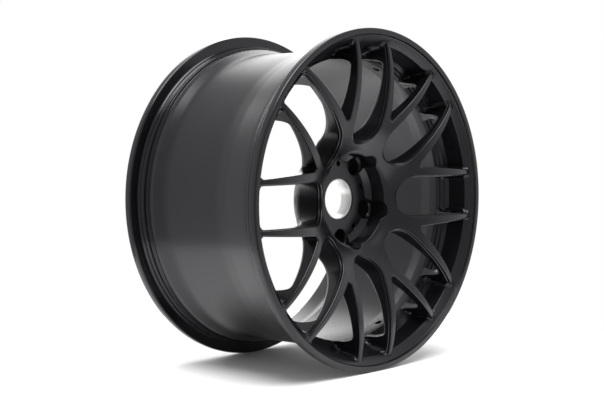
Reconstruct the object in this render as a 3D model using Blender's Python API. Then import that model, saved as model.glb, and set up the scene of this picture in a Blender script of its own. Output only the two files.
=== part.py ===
"""Eighteen inch forged racing wheel: barrel, flanges, hub and sixteen spoke arms, with its spigot ring.

Units are metres, +Z is up. The wheel stands upright. Its axis is Y, its face looks along -Y, and the
origin is on the axis at the middle of the overall width.
"""

from math import atan, cos, degrees, pi, radians, sin, sqrt, tan

import bmesh
import bpy
from mathutils import Matrix, Vector

MM = 0.001

# Driving dimensions, in millimetres.
FLANGE_R = 245.9
BEAD_R = 228.6
RIM_WIDTH = 241.3
FLANGE_THICK = 13.0
HALF_WIDTH = RIM_WIDTH / 2 + FLANGE_THICK
BORE_R = 30.05
SPIGOT_R = 28.05
BOLT_CIRCLE_R = 57.15
BOLTS = 5
BOLT_CLOCK = 55.0
STUD_HOLE_R = 7.0
NUT_POCKET_R = 15.5
NUT_BORE_R = 12.5
NUT_BORE_DEPTH = 5.0
SEAT_HALF_ANGLE = 30.0
SMALL_HOLES_R = 52.5
SMALL_HOLE_R = 4.0
SMALL_HOLE_DEPTH = 9.0
OFFSET = 38.0
GAP = 0.3
CUT_FRONT = -200.0
CUT_BACK = 60.0

# Face of the spokes: two arcs that meet on the crest.
CREST_R = 187.0
CREST_Y = -133.5
INNER_ARC = 185.0
OUTER_ARC = 150.0

# Hub.
HUB_PAD_Y = -60.0
HUB_PAD_R = 57.4
RECESS_R = 66.6
HUB_R = 81.7
BACK_PAD_R = 73.0
BACK_EDGE_Y = -49.7

# Rear of the spokes: a straight taper out of the hub, then an arc that lies flat behind the rim end.
REAR_ARC_R = 122.6
REAR_ARC_CENTRE = (200.0, 4.6)
REAR_ARC_TILT = 57.2

# Windows: a fork of two parallel arms leaves a deep window, two forks leave a shallow one.
FORKS = 8
DEEP_HALF_WIDTH = 30.0
DEEP_ROUND_U = 112.0
ARM_ROOT = (117.5, 44.5)
ARM_TIP = (228.0, 37.0)
SHALLOW_ROUND_R = 4.5
SHALLOW_ROUND_U = 128.3
TIP_R = 231.5
WEB_START = 5.0

# Rim: lip band, wall and ledge between the spoke tips.
BAND_OUTER = (235.5, -129.0)
BAND_INNER = (225.0, -121.0)
WALL_FOOT = (220.5, -94.0)
LEDGE_INNER = (206.0, -80.0)
LIP_JOINT_Y = -94.0
REAR_JOINT_Y = 99.0
VALVE_HOLE_R = 5.65
VALVE_HOLE_Y = -66.0
VALVE_ANGLES = (67.5, -67.5)

RING_STEPS = 64
STEP = 360.0 / RING_STEPS
ARM_STEPS = 5


def clear_scene():
    for obj in list(bpy.data.objects):
        bpy.data.objects.remove(obj, do_unlink=True)


def make_material(name, colour, roughness, metallic):
    material = bpy.data.materials.new(name)
    material.use_nodes = True
    shader = material.node_tree.nodes["Principled BSDF"]
    shader.inputs["Base Color"].default_value = (*colour, 1.0)
    shader.inputs["Roughness"].default_value = roughness
    shader.inputs["Metallic"].default_value = metallic
    return material


def face_y(r):
    """Height of the spokes' front surface at radius r."""
    arc = INNER_ARC if r < CREST_R else OUTER_ARC
    return CREST_Y + arc - sqrt(arc**2 - (r - CREST_R) ** 2)


def rear_arc_point(tilt):
    """A point of the rear arc, tilt degrees before its flat end."""
    centre_r, centre_y = REAR_ARC_CENTRE
    angle = radians(tilt)
    return (centre_r - REAR_ARC_R * sin(angle), centre_y - REAR_ARC_R * cos(angle))


def world(r, y, angle):
    """World point at radius r and depth y, angle degrees from +X towards +Z."""
    a = radians(angle)
    return Vector((r * cos(a), y, r * sin(a))) * MM


def finish_mesh(bm, name):
    bmesh.ops.recalc_face_normals(bm, faces=bm.faces[:])
    mesh = bpy.data.meshes.new(name)
    bm.to_mesh(mesh)
    bm.free()
    return mesh


def add_object(name, mesh, material):
    mesh.materials.clear()
    mesh.materials.append(material)
    mesh.shade_smooth()
    mesh.set_sharp_from_angle(angle=radians(28))
    obj = bpy.data.objects.new(name, mesh)
    bpy.context.scene.collection.objects.link(obj)
    return obj


def add_cutter(name, mesh):
    cutter = bpy.data.objects.new(name, mesh)
    cutter.hide_render = True
    cutter.display_type = "WIRE"
    bpy.context.scene.collection.objects.link(cutter)
    return cutter


def turned(profile, first=0.0, steps=RING_STEPS):
    """Mesh of a closed (radius, depth) outline turned about Y, all round or through steps of STEP."""
    bm = bmesh.new()
    full = steps == RING_STEPS
    rings = []
    for i in range(steps if full else steps + 1):
        rings.append([bm.verts.new(world(r, y, first + i * STEP)) for r, y in profile])
    for i in range(steps):
        here, there = rings[i], rings[(i + 1) % len(rings)]
        for j in range(len(profile)):
            k = (j + 1) % len(profile)
            bm.faces.new((here[j], here[k], there[k], there[j]))
    if not full:
        bm.faces.new(rings[0])
        bm.faces.new(rings[-1])
    return finish_mesh(bm, "turned")


def add_prism(bm, outline, y0, y1, angle=0.0):
    """Adds to bm a prism along Y over an outline of (u, v) points turned by angle about the axis."""
    turn = Matrix.Rotation(-radians(angle), 3, "Y")
    low = [bm.verts.new(turn @ Vector((u, y0, v)) * MM) for u, v in outline]
    high = [bm.verts.new(turn @ Vector((u, y1, v)) * MM) for u, v in outline]
    bm.faces.new(low)
    bm.faces.new(high)
    for i in range(len(outline)):
        k = (i + 1) % len(outline)
        bm.faces.new((low[i], low[k], high[k], high[i]))


def add_spindle(bm, stations, centre, sides):
    """Adds to bm a closed round tool along Y, from (radius, depth) stations, about the (x, z) centre."""
    x, z = centre
    rows = []
    for r, y in stations:
        spots = [(x + r * cos(a), y, z + r * sin(a)) for a in (2 * pi * i / sides for i in range(sides))]
        rows.append([bm.verts.new(Vector(spot) * MM) for spot in spots])
    for low, high in zip(rows, rows[1:]):
        for i in range(sides):
            k = (i + 1) % sides
            bm.faces.new((low[i], low[k], high[k], high[i]))
    bm.faces.new(rows[0])
    bm.faces.new(rows[-1])


def arc_points(centre, radius, start, end, count):
    """Points on an arc of the (u, v) plane, angles in degrees."""
    spots = [radians(start + (end - start) * i / (count - 1)) for i in range(count)]
    return [(centre[0] + radius * cos(a), centre[1] + radius * sin(a)) for a in spots]


def shallow_half_angle():
    """Angle between a shallow window's middle and the side of an arm, in degrees."""
    lean = (ARM_ROOT[1] - ARM_TIP[1]) / (ARM_TIP[0] - ARM_ROOT[0])
    return 180 / FORKS + degrees(atan(lean))


def arm_outline():
    """Plan of the arm on the +v side of its fork, with u outwards along the fork's middle."""
    start = radians(WEB_START)
    inner = HUB_R + GAP
    deep_start = 180 - WEB_START * inner / DEEP_HALF_WIDTH
    deep = arc_points((DEEP_ROUND_U, 0.0), DEEP_HALF_WIDTH, deep_start, 90, 12)
    lean = (ARM_TIP[1] - ARM_ROOT[1]) / (ARM_TIP[0] - ARM_ROOT[0])
    tip_v = ARM_ROOT[1] + (FLANGE_R - ARM_ROOT[0]) * lean
    tip = [(FLANGE_R, DEEP_HALF_WIDTH), (FLANGE_R, tip_v)]
    axis = 180 / FORKS
    apex_end = 270 - shallow_half_angle() + axis
    apex_centre = (SHALLOW_ROUND_U * cos(radians(axis)), SHALLOW_ROUND_U * sin(radians(axis)))
    apex = arc_points(apex_centre, SHALLOW_ROUND_R, apex_end, 182 + axis, 6)
    web_end = axis - degrees(GAP / 2 / inner)
    web = arc_points((0.0, 0.0), inner - 1, web_end, WEB_START, 6)
    return [(inner * cos(start), inner * sin(start))] + deep + tip + apex + web


def bolt_centre(angle, radius=BOLT_CIRCLE_R):
    a = radians(angle)
    return (radius * cos(a), radius * sin(a))


def front_lip(material):
    half = HALF_WIDTH
    inner_face = -RIM_WIDTH / 2
    profile = [
        (WALL_FOOT[0], LIP_JOINT_Y),
        BAND_INNER,
        BAND_OUTER,
        (236.4, -129.6),
        (237.8, -half),
        (243.6, -half),
        (FLANGE_R, -half + 2.5),
        (FLANGE_R, inner_face - 3.0),
        (243.2, inner_face),
        (234.5, inner_face),
        (230.0, inner_face + 2.4),
        (BEAD_R, inner_face + 7.0),
        (226.9, -100.0),
        (226.9, LIP_JOINT_Y),
    ]
    return add_object("front_lip", turned(profile), material)


def rim_barrel(material):
    front = LIP_JOINT_Y + GAP
    profile = [
        (226.9, front),
        (226.0, -90.0),
        (219.6, -52.0),
        (218.0, -40.0),
        (217.2, -24.0),
        (217.2, 76.0),
        (218.6, 82.0),
        (224.4, 94.0),
        (225.6, REAR_JOINT_Y),
        (219.6, REAR_JOINT_Y),
        (218.4, 94.0),
        (212.4, 82.0),
        (211.2, 76.0),
        (211.2, -44.0),
        (206.0, -64.0),
        LEDGE_INNER,
        (WALL_FOOT[0], front),
    ]
    barrel = add_object("rim_barrel", turned(profile), material)
    bm = bmesh.new()
    for angle in VALVE_ANGLES:
        reach = Matrix.Translation(world(215.0, VALVE_HOLE_Y, angle))
        along = reach @ Matrix.Rotation(radians(90 - angle), 4, "Y")
        bmesh.ops.create_cone(
            bm,
            cap_ends=True,
            segments=24,
            radius1=VALVE_HOLE_R * MM,
            radius2=VALVE_HOLE_R * MM,
            depth=60 * MM,
            matrix=along,
        )
    cut(barrel, add_cutter("valve_hole_cutter", finish_mesh(bm, "valve_hole_cutter")), "valve_holes")
    return barrel


def rear_flange(material):
    half = HALF_WIDTH
    inner_face = RIM_WIDTH / 2
    profile = [
        (219.6, REAR_JOINT_Y + GAP),
        (225.6, REAR_JOINT_Y + GAP),
        (229.0, 103.5),
        (226.9, 107.5),
        (BEAD_R, inner_face - 7.0),
        (230.0, inner_face - 2.4),
        (234.5, inner_face),
        (243.2, inner_face),
        (FLANGE_R, inner_face + 3.0),
        (FLANGE_R, half - 2.5),
        (243.6, half),
        (227.0, half),
        (222.8, half - 4.0),
    ]
    return add_object("rear_flange", turned(profile), material)


def cut(obj, cutter, name):
    modifier = obj.modifiers.new(name, "BOOLEAN")
    modifier.operation = "DIFFERENCE"
    modifier.object = cutter
    modifier.solver = "EXACT"


def hub_profile():
    """Half section of the hub: bore, pad, recess wall, face, cone behind, mounting pad."""
    face_steps = 2
    face = []
    for i in range(face_steps + 1):
        r = RECESS_R + 1.2 + (HUB_R - RECESS_R - 1.2) * i / face_steps
        face.append((r, face_y(r)))
    return [
        (BORE_R, HUB_PAD_Y + 1.3),
        (BORE_R + 1.3, HUB_PAD_Y),
        (HUB_PAD_R, HUB_PAD_Y),
        (61.5, -61.8),
        (66.0, -66.0),
        (RECESS_R, face_y(RECESS_R) + 1.0),
        *face,
        (HUB_R, BACK_EDGE_Y),
        (BACK_PAD_R + 1.8, -OFFSET - 2.4),
        (BACK_PAD_R, -OFFSET - 1.0),
        (BACK_PAD_R - 1.0, -OFFSET),
        (BORE_R + 1.5, -OFFSET),
        (BORE_R, -OFFSET - 1.5),
    ]


def hub_cutters():
    """The tools that open the nut pockets, seats, stud holes and the small blind holes."""
    pockets = bmesh.new()
    seats = bmesh.new()
    seat_depth = (NUT_BORE_R - STUD_HOLE_R) / tan(radians(SEAT_HALF_ANGLE))
    seat_top = HUB_PAD_Y + NUT_BORE_DEPTH
    for k in range(BOLTS):
        angle = BOLT_CLOCK + 360 / BOLTS * k
        pocket = [(NUT_POCKET_R, CUT_FRONT), (NUT_POCKET_R, HUB_PAD_Y + 1)]
        add_spindle(pockets, pocket, bolt_centre(angle), 32)
        stations = [
            (NUT_BORE_R, HUB_PAD_Y - 20),
            (NUT_BORE_R, seat_top),
            (STUD_HOLE_R, seat_top + seat_depth),
            (STUD_HOLE_R, 0),
        ]
        add_spindle(seats, stations, bolt_centre(angle), 24)
        small = [(SMALL_HOLE_R, HUB_PAD_Y - 10), (SMALL_HOLE_R, HUB_PAD_Y + SMALL_HOLE_DEPTH)]
        add_spindle(seats, small, bolt_centre(angle + 180 / BOLTS, SMALL_HOLES_R), 16)
    return [("nut_pockets", pockets), ("nut_seats", seats)]


def hub_center(material):
    hub = add_object("hub_center", turned(hub_profile()), material)
    for name, bm in hub_cutters():
        cut(hub, add_cutter(name + "_cutter", finish_mesh(bm, name)), name)
    return hub


def arm_profile():
    """Half section of a spoke arm, from the hub to the rim: face, tip, foot on the rim, rear."""
    inner = HUB_R + GAP
    face_radii = [inner, 94.0, 108.0, 123.0, 139.0, 155.0, 171.0, 187.0, 200.0, 212.0, 222.0, TIP_R]
    face = [(r, face_y(r)) for r in face_radii]
    band_slope = (BAND_OUTER[1] - BAND_INNER[1]) / (BAND_OUTER[0] - BAND_INNER[0])
    tip_y = BAND_INNER[1] + (TIP_R - BAND_INNER[0]) * band_slope
    foot = [
        (TIP_R, tip_y - 0.4),
        (BAND_INNER[0] - 0.2, BAND_INNER[1] - 0.4),
        (WALL_FOOT[0] - 0.4, WALL_FOOT[1] - 0.2),
        (LEDGE_INNER[0] - 0.1, LEDGE_INNER[1] - 0.5),
    ]
    flare = [(204.6, -92.0), (202.0, -106.0)]
    rear = [rear_arc_point(t) for t in (3.0, 14.0, 25.0, 36.0, 47.0, REAR_ARC_TILT)]
    return face + foot + flare + rear + [(inner, BACK_EDGE_Y)]


def arm_mesh(side):
    """One arm of a fork, on the side (+1 or -1) of the deep window's middle."""
    sector = turned(arm_profile(), first=0 if side > 0 else -ARM_STEPS * STEP, steps=ARM_STEPS)
    blank = bpy.data.objects.new("arm_blank", sector)
    blank.hide_render = True
    bpy.context.scene.collection.objects.link(blank)
    outline = [(u, v * side) for u, v in arm_outline()]
    bm = bmesh.new()
    add_prism(bm, outline, CUT_FRONT, CUT_BACK)
    keeper = add_cutter("arm_outline", finish_mesh(bm, "arm_outline"))
    modifier = blank.modifiers.new("arm", "BOOLEAN")
    modifier.operation = "INTERSECT"
    modifier.object = keeper
    modifier.solver = "EXACT"
    bpy.context.view_layer.update()
    graph = bpy.context.evaluated_depsgraph_get()
    mesh = bpy.data.meshes.new_from_object(blank.evaluated_get(graph))
    bpy.data.objects.remove(blank)
    bpy.data.objects.remove(keeper)
    return mesh


def spoke_arms(material):
    meshes = {side: arm_mesh(side) for side in (1, -1)}
    for k in range(FORKS):
        for side, letter in ((1, "a"), (-1, "b")):
            arm = add_object(f"spoke_{k + 1}{letter}", meshes[side], material)
            arm.rotation_euler = (0, -radians(360 / FORKS * k), 0)


def hub_ring(material):
    outer = BORE_R - GAP
    back = -OFFSET - 0.5
    front = HUB_PAD_Y + 1.8
    profile = [
        (SPIGOT_R, front + 0.6),
        (SPIGOT_R + 0.5, front),
        (outer, front),
        (outer, back),
        (SPIGOT_R + 1.0, back),
        (SPIGOT_R, back - 1.0),
    ]
    return add_object("hub_ring", turned(profile), material)


def main():
    clear_scene()
    black = make_material("satin_black_coating", (0.045, 0.044, 0.048), 0.45, 0.0)
    bright = make_material("machined_aluminium", (0.78, 0.78, 0.77), 0.3, 1.0)
    front_lip(black)
    rim_barrel(black)
    rear_flange(black)
    hub_center(black)
    spoke_arms(black)
    hub_ring(bright)


main()
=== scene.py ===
"""Looks of the forged racing wheel rim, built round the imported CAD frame.

The wheel's axis is Y, its face looks along -Y and angles run from +X towards +Z. Shape functions work in
millimetres; points become metres when they enter a mesh.
"""

from math import atan, atan2, ceil, cos, degrees, hypot, pi, radians, sin, sqrt, tan

import bmesh
import bpy
from mathutils import Matrix, Vector


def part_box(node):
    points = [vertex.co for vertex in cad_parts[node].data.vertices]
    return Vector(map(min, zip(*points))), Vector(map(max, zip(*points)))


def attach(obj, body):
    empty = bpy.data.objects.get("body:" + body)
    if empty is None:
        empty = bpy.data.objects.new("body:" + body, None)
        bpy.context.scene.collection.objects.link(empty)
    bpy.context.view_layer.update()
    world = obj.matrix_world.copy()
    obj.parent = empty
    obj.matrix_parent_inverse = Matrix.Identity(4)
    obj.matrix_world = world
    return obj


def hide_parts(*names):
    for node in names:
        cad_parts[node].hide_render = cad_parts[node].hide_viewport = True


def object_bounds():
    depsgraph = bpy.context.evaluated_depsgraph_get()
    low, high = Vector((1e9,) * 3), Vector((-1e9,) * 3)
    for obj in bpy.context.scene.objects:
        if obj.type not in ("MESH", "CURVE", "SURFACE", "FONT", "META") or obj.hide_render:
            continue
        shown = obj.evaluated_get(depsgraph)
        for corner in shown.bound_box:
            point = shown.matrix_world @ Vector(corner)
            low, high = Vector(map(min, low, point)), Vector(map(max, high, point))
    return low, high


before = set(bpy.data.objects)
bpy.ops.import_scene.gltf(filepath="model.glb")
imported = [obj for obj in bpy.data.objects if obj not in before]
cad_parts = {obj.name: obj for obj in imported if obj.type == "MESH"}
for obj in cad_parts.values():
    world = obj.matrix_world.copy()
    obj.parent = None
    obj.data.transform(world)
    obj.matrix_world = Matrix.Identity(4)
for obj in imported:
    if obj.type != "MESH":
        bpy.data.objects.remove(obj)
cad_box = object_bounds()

MM = 0.001

# Sizes taken from the frame.
FLANGE_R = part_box("front_lip")[1].x / MM
HALF_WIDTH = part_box("rear_flange")[1].y / MM
BACK_PAD_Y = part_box("hub_center")[1].y / MM
RING_FRONT_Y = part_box("hub_ring")[0].y / MM
RING_BACK_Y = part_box("hub_ring")[1].y / MM
FLOOR_Z = cad_box[0][2]

# Rim.
FLANGE_WIDTH = 13.0
FLANGE_INNER_Y = HALF_WIDTH - FLANGE_WIDTH
VALVE_HOLE_R = 5.65
VALVE_HOLE_Y = -66.0
VALVE_ANGLES = (67.5, -67.5)
VALVE_TOOL_MIDDLE_R = 214.0
VALVE_TOOL_HALF_LENGTH = 30.0

# Face of the spokes: two arcs that meet on the crest.
CREST_R = 187.0
CREST_Y = -133.5
INNER_ARC = 185.0
OUTER_ARC = 150.0

# Rear of the spokes: a cone on the hub, a straight taper, an arc, and a flare into the barrel.
HUB_EDGE = (82.0, -50.0)
HUB_CONE_SLOPE = 1.45
TAPER_END_R = 97.0
REAR_ARC_R = 122.6
REAR_ARC_CENTRE = (200.0, 4.6)
FLARE_START_R = 197.0
FLARE_WIDTH = 9.3
BARREL_TOUCH_Y = -80.0

# Lip band, wall and ledge: (radius, depth) corners from the front inwards.
BAND_OUTER = (235.5, -129.0)
BAND_INNER = (225.0, -121.0)
WALL_FOOT = (220.5, -93.5)
LEDGE_INNER = (206.0, -80.0)

# Windows and arms, in a fork's own frame: u outwards, v across.
FORKS = 8
DEEP_HALF_WIDTH = 30.0
DEEP_ROUND_U = 112.0
ARM_ROOT = (117.5, 44.5)
ARM_TIP = (228.0, 37.0)
SHALLOW_ROUND_R = 4.5
SHALLOW_ROUND_U = 128.3
ARM_END_U = 236.0
TIP_FILLET = 5.5
EDGE_BAND = 2.3
FRONT_EDGE_DROP = 1.9
REAR_EDGE_DROP = 4.2
WALL_STEP = 1.2
WALL_STEP_DROPS = (4.6, 5.6)

# Ends of the arms, buried in the rim: free reach in front of a depth, a small share of it behind.
BURIED_FROM_Y = -121.0
BURIED_FADE = 3.0
BURIED_SHARE = 0.18
ARM_CAP = (227.5, -121.5)

# Hub.
HUB_PLATE_R = 78.0
HUB_DISC_R = 77.0
BACK_PAD_R = 73.9
BORE_R = 30.05
PAD_Y = -60.0
PAD_R = 57.4
RECESS_R = 66.6
RECESS_EDGE = 1.3
BEVEL_FOOT = (66.0, -66.0)
BOLT_CIRCLE_R = 57.15
BOLTS = 5
BOLT_CLOCK = 55.0
NUT_POCKET_R = 15.5
NUT_BORE_R = 12.5
NUT_BORE_DEPTH = 5.0
SEAT_HALF_ANGLE = 30.0
STUD_HOLE_R = 7.0
SMALL_HOLES_R = 52.5
SMALL_HOLE_R = 4.0
SMALL_HOLE_DEPTH = 9.0
SPIGOT_R = 28.05
RING_CLEARANCE = 0.3

# Fineness of the meshes.
RIM_SEGMENTS = 224
RING_SEGMENTS = 192
TOOL_SIDES = 64
SMALL_TOOL_SIDES = 32
VALVE_TOOL_SIDES = 48
CORE_COLUMNS = 8
HUB_FINENESS = 3
HUB_STEPS = FORKS * 2 * CORE_COLUMNS * HUB_FINENESS
DEEP_ROUND_ROWS = 16
SHALLOW_ROUND_ROWS = 7
LEAD_ROWS, LEAD_STEP = 6, 1.7
NEAR_ROWS, NEAR_START_U, NEAR_STEP = 19, 124.0, 4.0
FAR_GAP, FAR_STEP = 2.0, 1.3
WALL_ROWS = 8
MERGE_DISTANCE = 2e-6
SHARP_ANGLE = 32.0

# Black coating.
COATING_DARK = (0.0034, 0.0032, 0.0042, 1)
COATING_LIGHT = (0.0052, 0.0049, 0.0062, 1)
COATING_TINT = (0.95, 0.94, 1.0, 1.0)
COATING_IOR = 1.47
COATING_ROUGHNESS = (0.22, 0.29)
COATING_CLOUD_SCALE = 24.0
COATING_LINE_SCALE = 900.0
COATING_GRAIN_SCALE = 1400.0
GLOSSY_FROM_Y = 98.0
GLOSSY_FADE = 6.0
GLOSSY_GAIN = 0.09

# Bare aluminium.
ALUMINIUM_DARK = (0.62, 0.61, 0.60, 1)
ALUMINIUM_LIGHT = (0.86, 0.86, 0.85, 1)
ALUMINIUM_ROUGHNESS = (0.22, 0.38)
ALUMINIUM_LINE_SCALE = 2200.0

# Studio. Each soft box: direction, inner and outer half angle in degrees, brightness.
AMBIENT = 0.50
SOFT_BOXES = (
    ((-0.25, 1.00, 0.05), 40, 98, 0.35),
    ((-0.28, 0.02, 0.96), 4, 20, 5.5),
    ((0.10, 0.92, 0.38), 2, 10, 4.0),
    ((0.70, 0.56, 0.42), 10, 36, 2.0),
    ((0.85, -0.45, 0.10), 5, 50, 0.45),
)
SUN_POWER = 3.3
SUN_SPREAD = 50.0
SUN_TILT = (14.0, -6.0)
FLOOR_RADIUS = 0.56
FLOOR_SIDES = 96
FLOOR_GREY = 0.9
FLOOR_ROUGHNESS = 0.9

# Camera: angles in degrees, lengths in metres, lens in millimetres.
CAMERA_AZIMUTH = -46.445
CAMERA_HEIGHT_ANGLE = 3.165
CAMERA_ROLL = -0.595
CAMERA_DISTANCE = 2.00032
CAMERA_SIDE = -0.011051
CAMERA_UP = -0.003249
CAMERA_LENS = 79.57
CAMERA_SENSOR = 36.0


# ---------------------------------------------------------------- outlines


def rounded(corners, closed=True, step=15.0):
    """Outline through (a, b, radius) corners, each corner rounded to its radius."""
    points = []
    count = len(corners)
    for i, (a, b, radius) in enumerate(corners):
        here = Vector((a, b))
        at_end = not closed and i in (0, count - 1)
        if radius <= 0 or at_end:
            points.append((a, b))
            continue
        back = Vector(corners[i - 1][:2]) - here
        ahead = Vector(corners[(i + 1) % count][:2]) - here
        half = back.angle(ahead) / 2
        reach = min(radius / tan(half), 0.45 * back.length, 0.45 * ahead.length)
        fillet = reach * tan(half)
        middle = (back.normalized() + ahead.normalized()).normalized()
        centre = here + middle * (fillet / sin(half))
        arm = here + back.normalized() * reach - centre
        turn = pi - 2 * half
        if arm.x * ahead.y - arm.y * ahead.x < 0:
            turn = -turn
        steps = max(2, ceil(abs(turn) / radians(step)))
        for j in range(steps + 1):
            a_j = turn * j / steps
            x = arm.x * cos(a_j) - arm.y * sin(a_j)
            y = arm.x * sin(a_j) + arm.y * cos(a_j)
            points.append((centre.x + x, centre.y + y))
    return points


def rim_outline():
    """Half section of the rim: front flange, tyre side, rear flange, brake side, ledge, lip band."""
    front, back, seat = -HALF_WIDTH, HALF_WIDTH, FLANGE_INNER_Y
    tyre_side = [
        (237.5, front, 0.8),
        (FLANGE_R, front, 2.6),
        (FLANGE_R, -seat, 3.2),
        (230.0, -seat, 6.0),
        (228.4, -112.0, 2.0),
        (227.2, -105.4, 0.8),
        (228.4, -102.6, 1.4),
        (227.8, -98.2, 1.4),
        (226.2, -95.2, 1.6),
        (225.6, -89.0, 10.0),
        (219.4, -51.0, 70.0),
        (217.2, -30.0, 90.0),
        (217.2, 75.5, 36.0),
        (224.8, 94.0, 7.0),
        (225.8, 100.2, 1.0),
        (224.9, 101.2, 0.5),
        (225.1, 103.2, 0.5),
        (228.9, 104.6, 1.0),
        (228.4, 108.8, 0.8),
        (226.7, 109.8, 0.6),
        (226.7, 112.8, 0.6),
        (228.7, 114.2, 0.8),
        (230.2, seat, 5.0),
        (FLANGE_R, seat, 2.6),
    ]
    brake_side = [
        (FLANGE_R, back, 4.2),
        (227.0, back, 3.2),
        (222.6, back - 4.4, 3.0),
        (219.4, 99.0, 8.0),
        (218.6, 94.0, 6.0),
        (211.4, 77.0, 12.0),
        (211.0, -46.0, 30.0),
        (206.2, -66.0, 8.0),
    ]
    ledge = [
        (*LEDGE_INNER, 1.2),
        (209.8, -82.4, 0.7),
        (210.7, -84.9, 0.7),
        (214.2, -86.9, 0.7),
        (215.1, -89.4, 0.7),
        (*WALL_FOOT, 1.5),
        (*BAND_INNER, 1.2),
        (*BAND_OUTER, 0.5),
        (236.5, -129.9, 0.4),
    ]
    return rounded(tyre_side + brake_side + ledge)


def face_y(r):
    """Depth of the spokes' front surface at radius r."""
    arc = INNER_ARC if r < CREST_R else OUTER_ARC
    return CREST_Y + arc - sqrt(arc**2 - (r - CREST_R) ** 2)


def back_y(r):
    """Depth of the spokes' rear surface at radius r."""
    edge_r, edge_y = HUB_EDGE
    centre_r, centre_y = REAR_ARC_CENTRE
    if r < edge_r:
        return edge_y + (edge_r - r) * HUB_CONE_SLOPE
    if r < TAPER_END_R:
        end_y = centre_y - sqrt(REAR_ARC_R**2 - (TAPER_END_R - centre_r) ** 2)
        return edge_y + (end_y - edge_y) * (r - edge_r) / (TAPER_END_R - edge_r)
    if r < FLARE_START_R:
        return centre_y - sqrt(REAR_ARC_R**2 - (r - centre_r) ** 2)
    flat = centre_y - REAR_ARC_R
    part = min((r - FLARE_START_R) / FLARE_WIDTH, 1.0)
    return BARREL_TOUCH_Y + (flat - BARREL_TOUCH_Y) * sqrt(1 - part**2)


def wall_radius(y):
    """Radius of the rim's inner surface, where the arms meet it, at depth y."""
    corners = [BAND_OUTER, BAND_INNER, WALL_FOOT, LEDGE_INNER]
    if y <= corners[0][1]:
        return corners[0][0]
    for (r0, y0), (r1, y1) in zip(corners, corners[1:]):
        if y <= y1:
            return r0 + (r1 - r0) * (y - y0) / (y1 - y0)
    return LEDGE_INNER[0]


# ---------------------------------------------------------------- arms


def shallow_half_angle():
    """Angle between a shallow window's middle line and its side."""
    lean = (ARM_ROOT[1] - ARM_TIP[1]) / (ARM_TIP[0] - ARM_ROOT[0])
    return pi / FORKS + atan(lean)


def turned_by(point, angle):
    """The point (u, v), or direction, turned about the wheel's axis."""
    u, v = point
    return (u * cos(angle) - v * sin(angle), u * sin(angle) + v * cos(angle))


def arm_stations():
    """Outward positions of the rows that cross an arm between its root and its end."""
    near = [NEAR_START_U + NEAR_STEP * i for i in range(NEAR_ROWS)]
    start = near[-1] + FAR_GAP
    count = int((ARM_END_U - start) / FAR_STEP) + 1
    return near + [start + FAR_STEP * i for i in range(count)]


def deep_chain():
    """Edge of a deep window on the +v side, as (point, unit vector into the metal), row by row."""
    rows = []
    for i in range(DEEP_ROUND_ROWS + 1):
        a = pi - pi / 2 * i / DEEP_ROUND_ROWS
        point = (DEEP_ROUND_U + DEEP_HALF_WIDTH * cos(a), DEEP_HALF_WIDTH * sin(a))
        rows.append((point, (cos(a), sin(a))))
    for i in range(1, LEAD_ROWS + 1):
        rows.append(((DEEP_ROUND_U + LEAD_STEP * i, DEEP_HALF_WIDTH), (0.0, 1.0)))
    for u in arm_stations():
        rows.append(((u, DEEP_HALF_WIDTH), (0.0, 1.0)))
    return rows


def shallow_chain():
    """Edge of the shallow window beside the same arm, in the same form as the deep chain."""
    half, axis = shallow_half_angle(), pi / FORKS
    rows = []
    for i in range(SHALLOW_ROUND_ROWS + 1):
        a = pi + (pi / 2 - half) * i / SHALLOW_ROUND_ROWS
        point = (SHALLOW_ROUND_U + SHALLOW_ROUND_R * cos(a), SHALLOW_ROUND_R * sin(a))
        rows.append((turned_by(point, axis), turned_by((cos(a), sin(a)), axis)))
    normal = rows[-1][1]
    (u0, v0), slope = rows[-1][0], -normal[0] / normal[1]
    for u in arm_stations():
        if u > u0:
            rows.append(((u, v0 + (u - u0) * slope), normal))
    return rows


def shifted(row, distance, y):
    """Point of a chain's row moved into the metal, less the fillet that meets the rim."""
    (u, v), (nu, nv) = row
    gap = wall_radius(y) - hypot(u, v)
    fillet = 0.0
    if gap < TIP_FILLET:
        fillet = TIP_FILLET - sqrt(TIP_FILLET**2 - (TIP_FILLET - max(gap, 0.0)) ** 2)
    move = distance - fillet
    return (u + nu * move, v + nv * move)


def sunk(u, v, y):
    """The point, drawn back towards the rim's inner surface where it would pass right through the rim."""
    r, wall = hypot(u, v), wall_radius(y)
    if r <= wall:
        return (u, v)
    free = min(max((BURIED_FROM_Y - y) / BURIED_FADE, 0.0), 1.0)
    share = BURIED_SHARE + (1 - BURIED_SHARE) * free
    scale = (wall + (r - wall) * share) / r
    return (u * scale, v * scale)


class Wedge:
    """One arm with its share of the hub plate, between the middles of two windows."""

    def __init__(self, bm, turn, mirror):
        self.bm = bm
        self.turn = turn
        self.mirror = mirror

    def vert(self, u, v, y):
        u, v = sunk(u, v, y)
        if self.mirror:
            v = -v
        x, z = turned_by((u, v), self.turn)
        return self.bm.verts.new((x * MM, y * MM, z * MM))

    def face(self, *corners):
        if self.mirror:
            corners = corners[::-1]
        self.bm.faces.new(corners)

    def skin(self, rows, flip):
        """Quads over equally long rows of vertices."""
        for low, high in zip(rows, rows[1:]):
            for j in range(len(low) - 1):
                corners = (low[j], low[j + 1], high[j + 1], high[j])
                self.face(*(corners[::-1] if flip else corners))


def polar_row(start, end, columns):
    """Points from start to end, evenly in radius and angle."""
    r0, a0 = hypot(*start), atan2(start[1], start[0])
    r1, a1 = hypot(*end), atan2(end[1], end[0])
    row = []
    for j in range(columns + 1):
        t = j / columns
        r, a = r0 + (r1 - r0) * t, a0 + (a1 - a0) * t
        row.append((r * cos(a), r * sin(a)))
    return row


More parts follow.
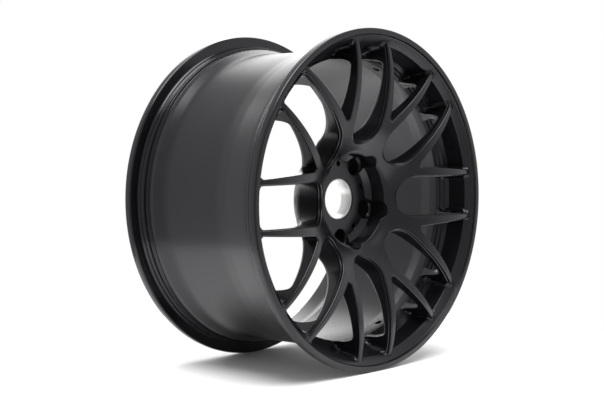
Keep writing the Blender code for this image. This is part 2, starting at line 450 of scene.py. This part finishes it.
def edge_drops(depth, steps=6):
    """(distance from the window, drop) pairs of a rounded edge, from the surface to the side."""
    angles = [pi / 2 * i / steps for i in range(1, steps + 1)]
    return [(EDGE_BAND * (1 - sin(a)), depth * (1 - cos(a))) for a in angles]


def surface_rows(height):
    """Rows of (u, v, y) over one wedge's plate, from the hub to the arm's end, at height(r)."""
    deep, shallow = deep_chain(), shallow_chain()
    axis = pi / FORKS
    inner_r = SHALLOW_ROUND_U - SHALLOW_ROUND_R - EDGE_BAND
    lead = len(deep) - len(shallow)
    start = (HUB_PLATE_R, 0.0)
    rows = [polar_row(start, turned_by(start, axis), CORE_COLUMNS)]
    for i, row in enumerate(deep):
        left = shifted(row, EDGE_BAND, height(hypot(*row[0])))
        if i < lead:
            r = HUB_PLATE_R + (inner_r - HUB_PLATE_R) * (i + 1) / (lead + 1)
            right = turned_by((r, 0.0), axis)
        else:
            other = shallow[i - lead]
            right = shifted(other, EDGE_BAND, height(hypot(*other[0])))
        rows.append(polar_row(left, right, CORE_COLUMNS))
    return [[(u, v, height(hypot(u, v))) for u, v in row] for row in rows]


def wall_rows(front, back, step):
    """(distance, depth) pairs of a window's wall, between its rounded edges.

    The part behind the ledge stands out by step, with a small round where it begins.
    """
    top, bottom = front + FRONT_EDGE_DROP, back - REAR_EDGE_DROP
    ledge_top, ledge_foot = (front + drop for drop in WALL_STEP_DROPS)
    rows = [(0.0, ledge_top - 0.5), (0.0, ledge_top)]
    rows += [(-0.85 * step, ledge_foot - 0.25), (-step, ledge_foot + 0.25)]
    for i in range(1, WALL_ROWS):
        rows.append((-step, ledge_foot + (bottom - ledge_foot) * i / WALL_ROWS))
    return [(distance, min(max(y, top), bottom)) for distance, y in rows]


def window_side(wedge, chain, front_edge, rear_edge, flip, step):
    """Rounded front edge, side wall and rounded rear edge along one chain, as rows of vertices."""
    made = []
    for k, row in enumerate(chain):
        r = hypot(*row[0])
        front, back = face_y(r), back_y(r)
        line = [front_edge[k]]
        for distance, drop in edge_drops(FRONT_EDGE_DROP):
            u, v = shifted(row, distance, front + drop)
            line.append(wedge.vert(u, v, front + drop))
        for distance, y in wall_rows(front, back, step):
            u, v = shifted(row, distance, y)
            line.append(wedge.vert(u, v, y))
        for distance, drop in reversed(edge_drops(REAR_EDGE_DROP)):
            distance -= step * drop / REAR_EDGE_DROP
            u, v = shifted(row, distance, back - drop)
            line.append(wedge.vert(u, v, back - drop))
        line.append(rear_edge[k])
        made.append(line)
    wedge.skin(made, flip)
    return made


def build_wedge(bm, turn, mirror):
    """Front, rear, both window sides and the end cap of one wedge."""
    wedge = Wedge(bm, turn, mirror)
    front = [[wedge.vert(*p) for p in row] for row in surface_rows(face_y)]
    back = [[wedge.vert(*p) for p in row] for row in surface_rows(back_y)]
    wedge.skin(front, flip=True)
    wedge.skin(back, flip=False)
    deep, shallow = deep_chain(), shallow_chain()
    first = 1 + len(deep) - len(shallow)
    deep_front = [row[0] for row in front[1:]]
    deep_back = [row[0] for row in back[1:]]
    shallow_front = [row[-1] for row in front[first:]]
    shallow_back = [row[-1] for row in back[first:]]
    left = window_side(wedge, deep, deep_front, deep_back, flip=False, step=WALL_STEP)
    right = window_side(wedge, shallow, shallow_front, shallow_back, flip=True, step=0.0)
    loop = front[-1] + right[-1][1:-1] + back[-1][::-1] + left[-1][1:-1][::-1]
    middle = sum((v.co for v in loop), Vector()) / len(loop)
    reach = ARM_CAP[0] * MM / hypot(middle.x, middle.z)
    centre = bm.verts.new((middle.x * reach, ARM_CAP[1] * MM, middle.z * reach))
    for i, here in enumerate(loop):
        wedge.face(here, loop[(i + 1) % len(loop)], centre)


# ---------------------------------------------------------------- hub


def pocket_reach(angle):
    """Radius at which a ray at this angle, in degrees, leaves a nut pocket, or 0 where it meets none."""
    reach = 0.0
    for k in range(BOLTS):
        off = radians(angle - BOLT_CLOCK - 360 / BOLTS * k)
        across = BOLT_CIRCLE_R * sin(off)
        if cos(off) > 0 and abs(across) < NUT_POCKET_R:
            far = BOLT_CIRCLE_R * cos(off) + sqrt(NUT_POCKET_R**2 - across**2)
            reach = max(reach, far)
    return reach


def hub_section(angle):
    """Half section of the hub disc at one angle: rear rim, bore, recess, front rim."""
    fixed = [
        (HUB_DISC_R, back_y(HUB_DISC_R), 0),
        (BACK_PAD_R, BACK_PAD_Y, 1.6),
        (BORE_R, BACK_PAD_Y, 1.4),
        (BORE_R, PAD_Y, 1.3),
        (PAD_R - 0.2, PAD_Y, 0),
    ]
    reach = pocket_reach(angle)
    wall = max(RECESS_R, reach)
    foot_r, foot_y = BEVEL_FOOT
    slope = (foot_y - PAD_Y) / (foot_r - PAD_R)
    if reach < foot_r:
        start_r = max(PAD_R, reach)
        start_y = PAD_Y + slope * (start_r - PAD_R)
        bevel = [(start_r - 0.12, PAD_Y), (start_r, start_y)]
        bevel.append(((start_r + foot_r) / 2, (start_y + foot_y) / 2))
        bevel.append((foot_r, foot_y))
        bevel.append((foot_r + 0.25, foot_y - 1.0))
    else:
        bevel = [(wall - 1.2, PAD_Y), (wall - 0.6, PAD_Y - 0.15), (wall - 0.15, PAD_Y - 0.6)]
        bevel.append((wall, PAD_Y - 1.4))
        bevel.append((wall, foot_y - 1.0))
    edge_r = wall + RECESS_EDGE
    top = face_y(edge_r)
    rim = []
    for i in range(6):
        a = pi / 2 * i / 5
        rim.append((wall + RECESS_EDGE * (1 - cos(a)), top + RECESS_EDGE * (1 - sin(a))))
    plate = [(r, face_y(r)) for r in ((edge_r + HUB_DISC_R) / 2, HUB_DISC_R)]
    return rounded(fixed, closed=False) + bevel + rim + plate


def build_hub(bm):
    """The hub disc as a polar grid. It stops just inside the plate and is stitched to it."""
    rows = []
    for i in range(HUB_STEPS):
        a = 2 * pi * i / HUB_STEPS
        section = hub_section(degrees(a))
        rows.append([bm.verts.new((r * cos(a) * MM, y * MM, r * sin(a) * MM)) for r, y in section])
    for i, here in enumerate(rows):
        there = rows[(i + 1) % HUB_STEPS]
        for j in range(len(here) - 1):
            bm.faces.new((here[j], here[j + 1], there[j + 1], there[j]))
    return rows


def stitch(bm, rows):
    """Joins the hub disc's two rims to the plate's inner circles."""
    spokes = HUB_STEPS // HUB_FINENESS
    for end, height in ((0, back_y(HUB_PLATE_R)), (-1, face_y(HUB_PLATE_R))):
        ring = {}
        for vert in bm.verts:
            x, y, z = vert.co / MM
            if abs(hypot(x, z) - HUB_PLATE_R) < 0.01 and abs(y - height) < 0.01:
                ring[round(degrees(atan2(z, x)) * spokes / 360) % spokes] = vert
        for i in range(spokes):
            first = i * HUB_FINENESS
            disc = [rows[(first + j) % HUB_STEPS][end] for j in range(HUB_FINENESS + 1)]
            corners = disc + [ring[(i + 1) % spokes], ring[i]]
            bm.faces.new(corners if end == 0 else corners[::-1])


def add_spindle(bm, stations, centre, sides):
    """A closed round tool along Y, from (radius, depth) stations, about the (x, z) centre."""
    x, z = centre
    rows = []
    angles = [2 * pi * i / sides for i in range(sides)]
    for r, y in stations:
        spots = [(x + r * cos(a), y, z + r * sin(a)) for a in angles]
        rows.append([bm.verts.new(Vector(spot) * MM) for spot in spots])
    for low, high in zip(rows, rows[1:]):
        for i in range(sides):
            k = (i + 1) % sides
            bm.faces.new((low[i], low[k], high[k], high[i]))
    bm.faces.new(rows[0])
    bm.faces.new(rows[-1])


def hub_tools():
    """Nut bores with their cone seats, stud holes, and the small blind holes between the studs."""
    bm = bmesh.new()
    seat_top = PAD_Y + NUT_BORE_DEPTH
    seat_foot = seat_top + (NUT_BORE_R - STUD_HOLE_R) / tan(radians(SEAT_HALF_ANGLE))
    bore = [
        (NUT_BORE_R + 1.9, PAD_Y - 1.0),
        (NUT_BORE_R, PAD_Y + 0.9),
        (NUT_BORE_R, seat_top),
        (STUD_HOLE_R, seat_foot),
        (STUD_HOLE_R, BACK_PAD_Y - 0.8),
        (STUD_HOLE_R + 1.8, BACK_PAD_Y + 1.0),
    ]
    small = [
        (SMALL_HOLE_R + 1.5, PAD_Y - 1.0),
        (SMALL_HOLE_R, PAD_Y + 0.5),
        (SMALL_HOLE_R, PAD_Y + SMALL_HOLE_DEPTH),
        (0.6, PAD_Y + SMALL_HOLE_DEPTH + 2.0),
    ]
    for k in range(BOLTS):
        for angle, radius, stations, sides in (
            (BOLT_CLOCK + 360 / BOLTS * k, BOLT_CIRCLE_R, bore, TOOL_SIDES),
            (BOLT_CLOCK + 360 / BOLTS * (k + 0.5), SMALL_HOLES_R, small, SMALL_TOOL_SIDES),
        ):
            a = radians(angle)
            add_spindle(bm, stations, (radius * cos(a), radius * sin(a)), sides)
    return new_object("hub_tools", bm)


# ---------------------------------------------------------------- assembly


def new_object(name, bm):
    """Turns the working mesh into a linked object, with its faces outwards."""
    bmesh.ops.recalc_face_normals(bm, faces=bm.faces[:])
    mesh = bpy.data.meshes.new(name)
    bm.to_mesh(mesh)
    bm.free()
    obj = bpy.data.objects.new(name, mesh)
    bpy.context.scene.collection.objects.link(obj)
    return obj


def turned(name, outline, segments):
    """Closed body of revolution about Y from a closed (radius, depth) outline."""
    bm = bmesh.new()
    rows = []
    for i in range(segments):
        a = 2 * pi * i / segments
        rows.append([bm.verts.new((r * cos(a) * MM, y * MM, r * sin(a) * MM)) for r, y in outline])
    for i, here in enumerate(rows):
        there = rows[(i + 1) % segments]
        for j in range(len(outline)):
            k = (j + 1) % len(outline)
            bm.faces.new((here[j], here[k], there[k], there[j]))
    return new_object(name, bm)


def combine(obj, tool, operation, solver="EXACT"):
    """Applies a Boolean and removes its tool."""
    modifier = obj.modifiers.new("combine", "BOOLEAN")
    modifier.operation = operation
    modifier.object = tool
    modifier.solver = solver
    bpy.context.view_layer.update()
    graph = bpy.context.evaluated_depsgraph_get()
    mesh = bpy.data.meshes.new_from_object(obj.evaluated_get(graph))
    obj.modifiers.clear()
    old, obj.data = obj.data, mesh
    bpy.data.meshes.remove(old)
    bpy.data.objects.remove(tool)


def valve_tools():
    """Radial tools for the two valve holes."""
    bm = bmesh.new()
    stations = [(VALVE_HOLE_R, end * VALVE_TOOL_HALF_LENGTH) for end in (-1, 1)]
    for angle in VALVE_ANGLES:
        part = bmesh.new()
        add_spindle(part, stations, (0.0, 0.0), VALVE_TOOL_SIDES)
        place = (
            Matrix.Rotation(-radians(angle), 4, "Y")
            @ Matrix.Translation(Vector((VALVE_TOOL_MIDDLE_R, VALVE_HOLE_Y, 0.0)) * MM)
            @ Matrix.Rotation(pi / 2, 4, "Z")
        )
        part.transform(place)
        mesh = bpy.data.meshes.new("valve_tool")
        part.to_mesh(mesh)
        part.free()
        bm.from_mesh(mesh)
        bpy.data.meshes.remove(mesh)
    return new_object("valve_tools", bm)


def spider():
    """Hub and sixteen arms in one closed mesh."""
    bm = bmesh.new()
    for k in range(FORKS):
        for mirror in (False, True):
            build_wedge(bm, 2 * pi / FORKS * k, mirror)
    bmesh.ops.remove_doubles(bm, verts=bm.verts[:], dist=MERGE_DISTANCE)
    stitch(bm, build_hub(bm))
    obj = new_object("spider", bm)
    combine(obj, hub_tools(), "DIFFERENCE")
    return obj


def smooth(obj):
    """Smooth shading, kept sharp at real edges."""
    obj.data.shade_smooth()
    obj.data.set_sharp_from_angle(angle=radians(SHARP_ANGLE))


def wheel_forging():
    """Rim, hub and arms in one closed mesh."""
    rim = turned("wheel_forging", rim_outline(), RIM_SEGMENTS)
    combine(rim, valve_tools(), "DIFFERENCE")
    combine(rim, spider(), "UNION", solver="MANIFOLD")
    smooth(rim)
    return rim


def spigot_ring():
    """Ring that narrows the bore to the vehicle's hub."""
    outer = BORE_R - RING_CLEARANCE
    corners = [
        (SPIGOT_R, RING_FRONT_Y, 0.6),
        (outer, RING_FRONT_Y, 0.4),
        (outer, RING_BACK_Y, 0.4),
        (SPIGOT_R, RING_BACK_Y, 0.9),
    ]
    ring = turned("spigot_ring", rounded(corners), RING_SEGMENTS)
    smooth(ring)
    return ring


# ---------------------------------------------------------------- materials


def node(tree, kind, **values):
    """New node whose sockets or settings take the given values."""
    made = tree.nodes.new(kind)
    for key, value in values.items():
        if key in made.inputs:
            made.inputs[key].default_value = value
        else:
            setattr(made, key, value)
    return made


def new_material(name):
    """Material with its node tree and its Principled shader."""
    material = bpy.data.materials.new(name)
    material.use_nodes = True
    return material, material.node_tree, material.node_tree.nodes["Principled BSDF"]


def set_inputs(target, **values):
    """Sets sockets whose names have spaces, written here with underscores."""
    for key, value in values.items():
        target.inputs[key.replace("_", " ")].default_value = value


def satin_black():
    """Satin black coating over forged and turned aluminium."""
    material, tree, shader = new_material("satin_black_coating")
    link = tree.links.new
    shader.inputs["Metallic"].default_value = 0.0
    shader.inputs["IOR"].default_value = COATING_IOR
    set_inputs(shader, Specular_Tint=COATING_TINT)
    spot = node(tree, "ShaderNodeTexCoord").outputs["Object"]
    split = node(tree, "ShaderNodeSeparateXYZ")
    link(spot, split.inputs["Vector"])

    # Faint clouds in colour and roughness.
    cloud = node(tree, "ShaderNodeTexNoise", Scale=COATING_CLOUD_SCALE, Detail=5.0, Roughness=0.55)
    link(spot, cloud.inputs["Vector"])
    tint = node(tree, "ShaderNodeValToRGB")
    dark, light = tint.color_ramp.elements
    dark.position, dark.color = 0.3, COATING_DARK
    light.position, light.color = 0.75, COATING_LIGHT
    link(cloud.outputs["Fac"], tint.inputs["Fac"])
    link(tint.outputs["Color"], shader.inputs["Base Color"])
    sheen = node(tree, "ShaderNodeMapRange")
    set_inputs(sheen, To_Min=COATING_ROUGHNESS[0], To_Max=COATING_ROUGHNESS[1])
    link(cloud.outputs["Fac"], sheen.inputs["Value"])

    # The rear flange is smoother than the rest.
    smoother = node(tree, "ShaderNodeMapRange")
    start, end = GLOSSY_FROM_Y * MM, (GLOSSY_FROM_Y + GLOSSY_FADE) * MM
    set_inputs(smoother, From_Min=start, From_Max=end, To_Max=GLOSSY_GAIN)
    link(split.outputs["Y"], smoother.inputs["Value"])
    gloss = node(tree, "ShaderNodeMath", operation="SUBTRACT")
    link(sheen.outputs["Result"], gloss.inputs[0])
    link(smoother.outputs["Result"], gloss.inputs[1])
    link(gloss.outputs["Value"], shader.inputs["Roughness"])

    # Turning lines under the coating, then the grain of the coating.
    lines = node(
        tree,
        "ShaderNodeTexNoise",
        noise_dimensions="1D",
        Scale=COATING_LINE_SCALE,
        Detail=3.0,
    )
    link(split.outputs["Y"], lines.inputs["W"])
    grain = node(tree, "ShaderNodeTexNoise", Scale=COATING_GRAIN_SCALE, Detail=2.0)
    link(spot, grain.inputs["Vector"])
    turning = node(tree, "ShaderNodeBump", Strength=0.06, Distance=0.0003)
    link(lines.outputs["Fac"], turning.inputs["Height"])
    powder = node(tree, "ShaderNodeBump", Strength=0.10, Distance=0.0002)
    link(grain.outputs["Fac"], powder.inputs["Height"])
    link(turning.outputs["Normal"], powder.inputs["Normal"])
    link(powder.outputs["Normal"], shader.inputs["Normal"])
    return material


def machined_aluminium():
    """Bare aluminium with fine turning lines round the bore."""
    material, tree, shader = new_material("machined_aluminium")
    link = tree.links.new
    shader.inputs["Metallic"].default_value = 1.0
    spot = node(tree, "ShaderNodeTexCoord").outputs["Object"]
    split = node(tree, "ShaderNodeSeparateXYZ")
    link(spot, split.inputs["Vector"])
    lines = node(
        tree,
        "ShaderNodeTexNoise",
        noise_dimensions="1D",
        Scale=ALUMINIUM_LINE_SCALE,
        Detail=4.0,
    )
    link(split.outputs["Y"], lines.inputs["W"])
    tint = node(tree, "ShaderNodeValToRGB")
    dark, light = tint.color_ramp.elements
    dark.color, light.color = ALUMINIUM_DARK, ALUMINIUM_LIGHT
    link(lines.outputs["Fac"], tint.inputs["Fac"])
    link(tint.outputs["Color"], shader.inputs["Base Color"])
    dull = node(tree, "ShaderNodeMapRange")
    set_inputs(dull, To_Min=ALUMINIUM_ROUGHNESS[0], To_Max=ALUMINIUM_ROUGHNESS[1])
    link(lines.outputs["Fac"], dull.inputs["Value"])
    link(dull.outputs["Result"], shader.inputs["Roughness"])
    bump = node(tree, "ShaderNodeBump", Strength=0.25, Distance=0.0002)
    link(lines.outputs["Fac"], bump.inputs["Height"])
    link(bump.outputs["Normal"], shader.inputs["Normal"])
    return material


def dress(obj, material):
    """Gives the whole piece one material."""
    obj.data.materials.clear()
    obj.data.materials.append(material)
    for polygon in obj.data.polygons:
        polygon.material_index = 0


# ---------------------------------------------------------------- studio


def add_floor():
    """Small pale disc under the wheel."""
    bm = bmesh.new()
    bmesh.ops.create_circle(bm, cap_ends=True, segments=FLOOR_SIDES, radius=FLOOR_RADIUS)
    floor = new_object("studio_floor", bm)
    floor.location.z = FLOOR_Z
    material, _, shader = new_material("pale_floor")
    set_inputs(shader, Base_Color=(FLOOR_GREY, FLOOR_GREY, FLOOR_GREY, 1))
    shader.inputs["Roughness"].default_value = FLOOR_ROUGHNESS
    floor.data.materials.append(material)


def add_world():
    """White to the camera; dim with a few soft boxes for everything else."""
    world = bpy.data.worlds.new("studio")
    world.use_nodes = True
    tree = world.node_tree
    link = tree.links.new
    background = tree.nodes["Background"]
    background.inputs["Color"].default_value = (1, 1, 1, 1)
    direction = node(tree, "ShaderNodeTexCoord").outputs["Generated"]
    total = None
    for aim, inner, outer, brightness in SOFT_BOXES:
        near = node(tree, "ShaderNodeVectorMath", operation="DOT_PRODUCT")
        link(direction, near.inputs[0])
        near.inputs[1].default_value = Vector(aim).normalized()
        box = node(tree, "ShaderNodeMapRange", interpolation_type="SMOOTHSTEP")
        edge, full = cos(radians(outer)), cos(radians(inner))
        set_inputs(box, From_Min=edge, From_Max=full, To_Max=brightness)
        link(near.outputs["Value"], box.inputs["Value"])
        add = node(tree, "ShaderNodeMath", operation="ADD")
        add.inputs[0].default_value = AMBIENT
        if total:
            link(total, add.inputs[0])
        link(box.outputs["Result"], add.inputs[1])
        total = add.outputs["Value"]
    seen = node(tree, "ShaderNodeLightPath").outputs["Is Camera Ray"]
    choose = node(tree, "ShaderNodeMix", data_type="FLOAT")
    link(seen, choose.inputs["Factor"])
    link(total, choose.inputs["A"])
    choose.inputs["B"].default_value = 1.0
    link(choose.outputs["Result"], background.inputs["Strength"])
    bpy.context.scene.world = world


def add_lights():
    """The surroundings and one broad lamp from above."""
    add_world()
    sun = bpy.data.lights.new("overhead_sun", "SUN")
    sun.energy = SUN_POWER
    sun.angle = radians(SUN_SPREAD)
    lamp = bpy.data.objects.new("overhead_sun", sun)
    lamp.rotation_euler = (radians(SUN_TILT[0]), radians(SUN_TILT[1]), 0)
    bpy.context.scene.collection.objects.link(lamp)


def add_camera():
    """Camera that looks at the wheel from its front left, a little above the axis."""
    az, el, roll = (radians(a) for a in (CAMERA_AZIMUTH, CAMERA_HEIGHT_ANGLE, CAMERA_ROLL))
    ahead = Vector((-sin(az) * cos(el), cos(az) * cos(el), -sin(el)))
    level = Vector((cos(az), sin(az), 0))
    upright = level.cross(ahead)
    right = level * cos(roll) + upright * sin(roll)
    up = upright * cos(roll) - level * sin(roll)
    place = right * CAMERA_SIDE + up * CAMERA_UP - ahead * CAMERA_DISTANCE
    camera = bpy.data.cameras.new("camera")
    camera.lens = CAMERA_LENS
    camera.sensor_width = CAMERA_SENSOR
    holder = bpy.data.objects.new("camera", camera)
    axes = Matrix((right, up, -ahead)).transposed().to_4x4()
    holder.matrix_world = Matrix.Translation(place) @ axes
    bpy.context.scene.collection.objects.link(holder)
    bpy.context.scene.camera = holder


# ---------------------------------------------------------------- scene

bpy.context.scene.view_settings.view_transform = "Standard"
add_camera()
add_lights()
add_floor()

forging = wheel_forging()
dress(forging, satin_black())
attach(forging, "root")
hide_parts(*sorted(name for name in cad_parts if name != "hub_ring"))

ring = spigot_ring()
dress(ring, machined_aluminium())
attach(ring, "root")
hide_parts("hub_ring")
